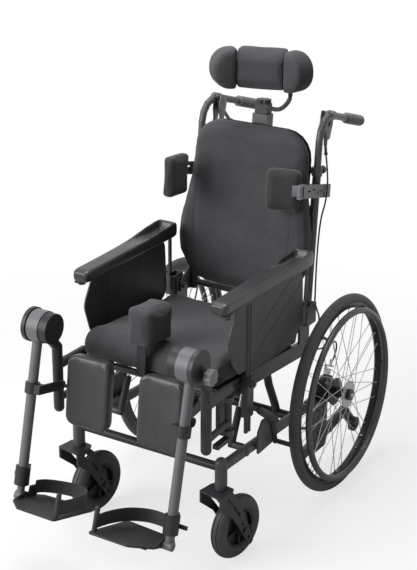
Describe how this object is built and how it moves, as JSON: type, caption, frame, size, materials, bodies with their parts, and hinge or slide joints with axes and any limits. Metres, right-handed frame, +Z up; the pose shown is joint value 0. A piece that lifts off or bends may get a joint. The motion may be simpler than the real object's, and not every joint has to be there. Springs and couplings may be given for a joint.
{
  "type": "wheelchair",
  "caption": "Tilt-in-space wheelchair with reclining contoured back, headrest, elevating leg rests, arm rests, pommel and self-propelling rear wheels.",
  "frame": {"origin": "on the floor, under the middle of the chair's bounding box", "axes": "+Z up; the sitter faces -Y; +X is the sitter's left"},
  "size_m": [0.703, 1.2792, 1.335],
  "materials": {
    "frame_grey": "satin dark grey powder coat",
    "frame_black": "satin black powder coat",
    "light_grey": "satin mid grey powder coat",
    "steel": "bare steel",
    "black_plastic": "moulded black plastic",
    "tyre": "dark grey rubber tyre",
    "soft_black": "soft moulded black foam",
    "cover": "dark grey stretch cover over foam",
    "webbing": "black webbing"
  },
  "bodies": {
    "base": {"side_frames": "frame_grey", "frame_tubes": "frame_black", "axle_plates": "frame_grey", "wheel_axles": "steel", "tilt_cylinders": "frame_black"},
    "seat": {"seat_frame": "frame_grey", "seat_pan": "black_plastic", "seat_cushion": "cover", "recline_cylinder": "frame_black"},
    "pommel": {"pommel": "cover"},
    "back": {"back_frame": "frame_grey", "back_shell": "black_plastic", "back_cushion": "cover", "brake_cables": "soft_black", "lateral_arm_left": "light_grey", "lateral_arm_right": "light_grey"},
    "headrest_post": {"headrest_post": "frame_black"},
    "headrest_cushion": {"headrest_cushion": "cover"},
    "tilt_rods": {"tilt_rods": "steel"},
    "recline_rod": {"recline_rod": "steel"},
    "wheel_left": {"tyre_left": "tyre", "wheel_rim_left": "frame_black", "pushrim_left": "frame_grey"},
    "fork_left": {"caster_fork_left": "frame_black"},
    "caster_left": {"caster_wheel_left": "tyre"},
    "hanger_left": {"hanger_left": "frame_grey"},
    "leg_left": {"leg_tube_left": "light_grey"},
    "calf_pad_left": {"calf_pad_left": "soft_black"},
    "foot_post_left": {"foot_post_left": "light_grey"},
    "foot_left": {"footplate_left": "frame_black", "heel_strap_left": "webbing"},
    "arm_left": {"armrest_pad_left": "soft_black", "arm_panel_left": "black_plastic"},
    "lateral_pad_left": {"lateral_pad_left": "soft_black"},
    "handle_left": {"push_handle_left": "frame_grey", "push_grip_left": "soft_black"},
    "brake_lever_left": {"brake_lever_left": "black_plastic"},
    "parking_left": {"parking_lever_left": "frame_black"},
    "anti_tip_left": {"anti_tip_left": "frame_black"},
    "anti_tip_wheel_left": {"anti_tip_wheel_left": "tyre"},
    "wheel_right": {"tyre_right": "tyre", "wheel_rim_right": "frame_black", "pushrim_right": "frame_grey"},
    "fork_right": {"caster_fork_right": "frame_black"},
    "caster_right": {"caster_wheel_right": "tyre"},
    "hanger_right": {"hanger_right": "frame_grey"},
    "leg_right": {"leg_tube_right": "light_grey"},
    "calf_pad_right": {"calf_pad_right": "soft_black"},
    "foot_post_right": {"foot_post_right": "light_grey"},
    "foot_right": {"footplate_right": "frame_black", "heel_strap_right": "webbing"},
    "arm_right": {"armrest_pad_right": "soft_black", "arm_panel_right": "black_plastic"},
    "lateral_pad_right": {"lateral_pad_right": "soft_black"},
    "handle_right": {"push_handle_right": "frame_grey", "push_grip_right": "soft_black"},
    "brake_lever_right": {"brake_lever_right": "black_plastic"},
    "parking_right": {"parking_lever_right": "frame_black"},
    "anti_tip_right": {"anti_tip_right": "frame_black"},
    "anti_tip_wheel_right": {"anti_tip_wheel_right": "tyre"}
  },
  "joints": [
    {"name": "tilt", "type": "hinge", "parent": "base", "child": "seat", "pos_m": [0, 0.05837, 0.475], "axis": [-1, 0, 0], "range_deg": [0, 20]},
    {"name": "recline", "type": "hinge", "parent": "seat", "child": "back", "pos_m": [0, 0.23837, 0.572], "axis": [-1, 0, 0], "range_deg": [0, 30]},
    {"name": "tilt_stroke", "type": "slide", "parent": "base", "child": "tilt_rods", "axis": [0, 0.3907, 0.9205], "range_m": [0, 0.0376]},
    {"name": "recline_stroke", "type": "slide", "parent": "seat", "child": "recline_rod", "axis": [0, -1, 0], "range_m": [0, 0.0518]},
    {"name": "pommel_slide", "type": "slide", "parent": "seat", "child": "pommel", "axis": [0, -0.9962, 0.0872], "range_m": [0, 0.12]},
    {"name": "headrest_height", "type": "slide", "parent": "back", "child": "headrest_post", "axis": [0, 0.0872, 0.9962], "range_m": [0, 0.08]},
    {"name": "headrest_tilt", "type": "hinge", "parent": "headrest_post", "child": "headrest_cushion", "pos_m": [0, 0.38237, 1.262], "axis": [1, 0, 0], "range_deg": [-15, 15]},
    {"name": "wheel_left", "type": "hinge", "parent": "base", "child": "wheel_left", "pos_m": [0.302, 0.32037, 0.30482], "axis": [0.9994, 0, 0.0349], "continuous": true},
    {"name": "caster_swivel_left", "type": "hinge", "parent": "base", "child": "fork_left", "pos_m": [0.24, -0.27163, 0.27], "axis": [0, 0, 1], "continuous": true},
    {"name": "caster_spin_left", "type": "hinge", "parent": "fork_left", "child": "caster_left", "pos_m": [0.25001, -0.20842, 0.095], "axis": [0.9877, -0.1564, 0], "continuous": true},
    {"name": "hanger_swing_left", "type": "hinge", "parent": "seat", "child": "hanger_left", "pos_m": [0.24, -0.23663, 0.45], "axis": [0, 0, 1], "range_deg": [0, 90]},
    {"name": "leg_raise_left", "type": "hinge", "parent": "hanger_left", "child": "leg_left", "pos_m": [0.238, -0.42763, 0.675], "axis": [-1, 0, 0], "range_deg": [0, 60]},
    {"name": "calf_pad_tilt_left", "type": "hinge", "parent": "leg_left", "child": "calf_pad_left", "pos_m": [0.2, -0.37671, 0.48341], "axis": [1, 0, 0], "range_deg": [-10, 10]},
    {"name": "foot_length_left", "type": "slide", "parent": "leg_left", "child": "foot_post_left", "axis": [0, -0.2377, -0.9713], "range_m": [0, 0.06]},
    {"name": "foot_angle_left", "type": "hinge", "parent": "foot_post_left", "child": "foot_left", "pos_m": [0.23, -0.54267, 0.20487], "axis": [1, 0, 0], "range_deg": [-12, 8]},
    {"name": "arm_height_left", "type": "slide", "parent": "seat", "child": "arm_left", "axis": [0, 0, 1], "range_m": [0, 0.06]},
    {"name": "lateral_swing_left", "type": "hinge", "parent": "back", "child": "lateral_pad_left", "pos_m": [0.2068, 0.20582, 0.9573], "axis": [0, 0.0872, 0.9962], "range_deg": [0, 70]},
    {"name": "handle_height_left", "type": "slide", "parent": "back", "child": "handle_left", "axis": [0, 0.0872, 0.9962], "range_m": [0, 0.06]},
    {"name": "brake_lever_left", "type": "hinge", "parent": "handle_left", "child": "brake_lever_left", "pos_m": [0.18088, 0.40855, 1.10913], "axis": [1, 0, 0], "range_deg": [0, 40]},
    {"name": "parking_brake_left", "type": "hinge", "parent": "base", "child": "parking_left", "pos_m": [0.266, -0.03563, 0.358], "axis": [1, 0, 0], "range_deg": [0, 18]},
    {"name": "anti_tip_turn_left", "type": "hinge", "parent": "base", "child": "anti_tip_left", "pos_m": [0.217, 0.42537, 0.119], "axis": [0, 0.9936, 0.1134], "range_deg": [0, 180]},
    {"name": "anti_tip_spin_left", "type": "hinge", "parent": "anti_tip_left", "child": "anti_tip_wheel_left", "pos_m": [0.217, 0.60937, 0.05], "axis": [1, 0, 0], "continuous": true},
    {"name": "wheel_right", "type": "hinge", "parent": "base", "child": "wheel_right", "pos_m": [-0.302, 0.32037, 0.30482], "axis": [0.9994, 0, -0.0349], "continuous": true},
    {"name": "caster_swivel_right", "type": "hinge", "parent": "base", "child": "fork_right", "pos_m": [-0.24, -0.27163, 0.27], "axis": [0, 0, 1], "continuous": true},
    {"name": "caster_spin_right", "type": "hinge", "parent": "fork_right", "child": "caster_right", "pos_m": [-0.22999, -0.20842, 0.095], "axis": [0.9877, -0.1564, 0], "continuous": true},
    {"name": "hanger_swing_right", "type": "hinge", "parent": "seat", "child": "hanger_right", "pos_m": [-0.24, -0.23663, 0.45], "axis": [0, 0, -1], "range_deg": [0, 90]},
    {"name": "leg_raise_right", "type": "hinge", "parent": "hanger_right", "child": "leg_right", "pos_m": [-0.238, -0.42763, 0.675], "axis": [-1, 0, 0], "range_deg": [0, 60]},
    {"name": "calf_pad_tilt_right", "type": "hinge", "parent": "leg_right", "child": "calf_pad_right", "pos_m": [-0.2, -0.37671, 0.48341], "axis": [1, 0, 0], "range_deg": [-10, 10]},
    {"name": "foot_length_right", "type": "slide", "parent": "leg_right", "child": "foot_post_right", "axis": [0, -0.2377, -0.9713], "range_m": [0, 0.06]},
    {"name": "foot_angle_right", "type": "hinge", "parent": "foot_post_right", "child": "foot_right", "pos_m": [-0.23, -0.54267, 0.20487], "axis": [1, 0, 0], "range_deg": [-12, 8]},
    {"name": "arm_height_right", "type": "slide", "parent": "seat", "child": "arm_right", "axis": [0, 0, 1], "range_m": [0, 0.06]},
    {"name": "lateral_swing_right", "type": "hinge", "parent": "back", "child": "lateral_pad_right", "pos_m": [-0.2068, 0.20582, 0.9573], "axis": [0, 0.0872, 0.9962], "range_deg": [0, 70]},
    {"name": "handle_height_right", "type": "slide", "parent": "back", "child": "handle_right", "axis": [0, 0.0872, 0.9962], "range_m": [0, 0.06]},
    {"name": "brake_lever_right", "type": "hinge", "parent": "handle_right", "child": "brake_lever_right", "pos_m": [-0.18088, 0.40855, 1.10913], "axis": [1, 0, 0], "range_deg": [-40, 10]},
    {"name": "parking_brake_right", "type": "hinge", "parent": "base", "child": "parking_right", "pos_m": [-0.266, -0.03563, 0.358], "axis": [1, 0, 0], "range_deg": [0, 18]},
    {"name": "anti_tip_turn_right", "type": "hinge", "parent": "base", "child": "anti_tip_right", "pos_m": [-0.217, 0.42537, 0.119], "axis": [0, -0.9936, -0.1134], "range_deg": [0, 180]},
    {"name": "anti_tip_spin_right", "type": "hinge", "parent": "anti_tip_right", "child": "anti_tip_wheel_right", "pos_m": [-0.217, 0.60937, 0.05], "axis": [1, 0, 0], "continuous": true}
  ],
  "couplings": [
    {"joint": "tilt_stroke", "follows": "tilt", "m_per_rad": 0.10735},
    {"joint": "recline_stroke", "follows": "recline", "m_per_rad": 0.09886}
  ]
}
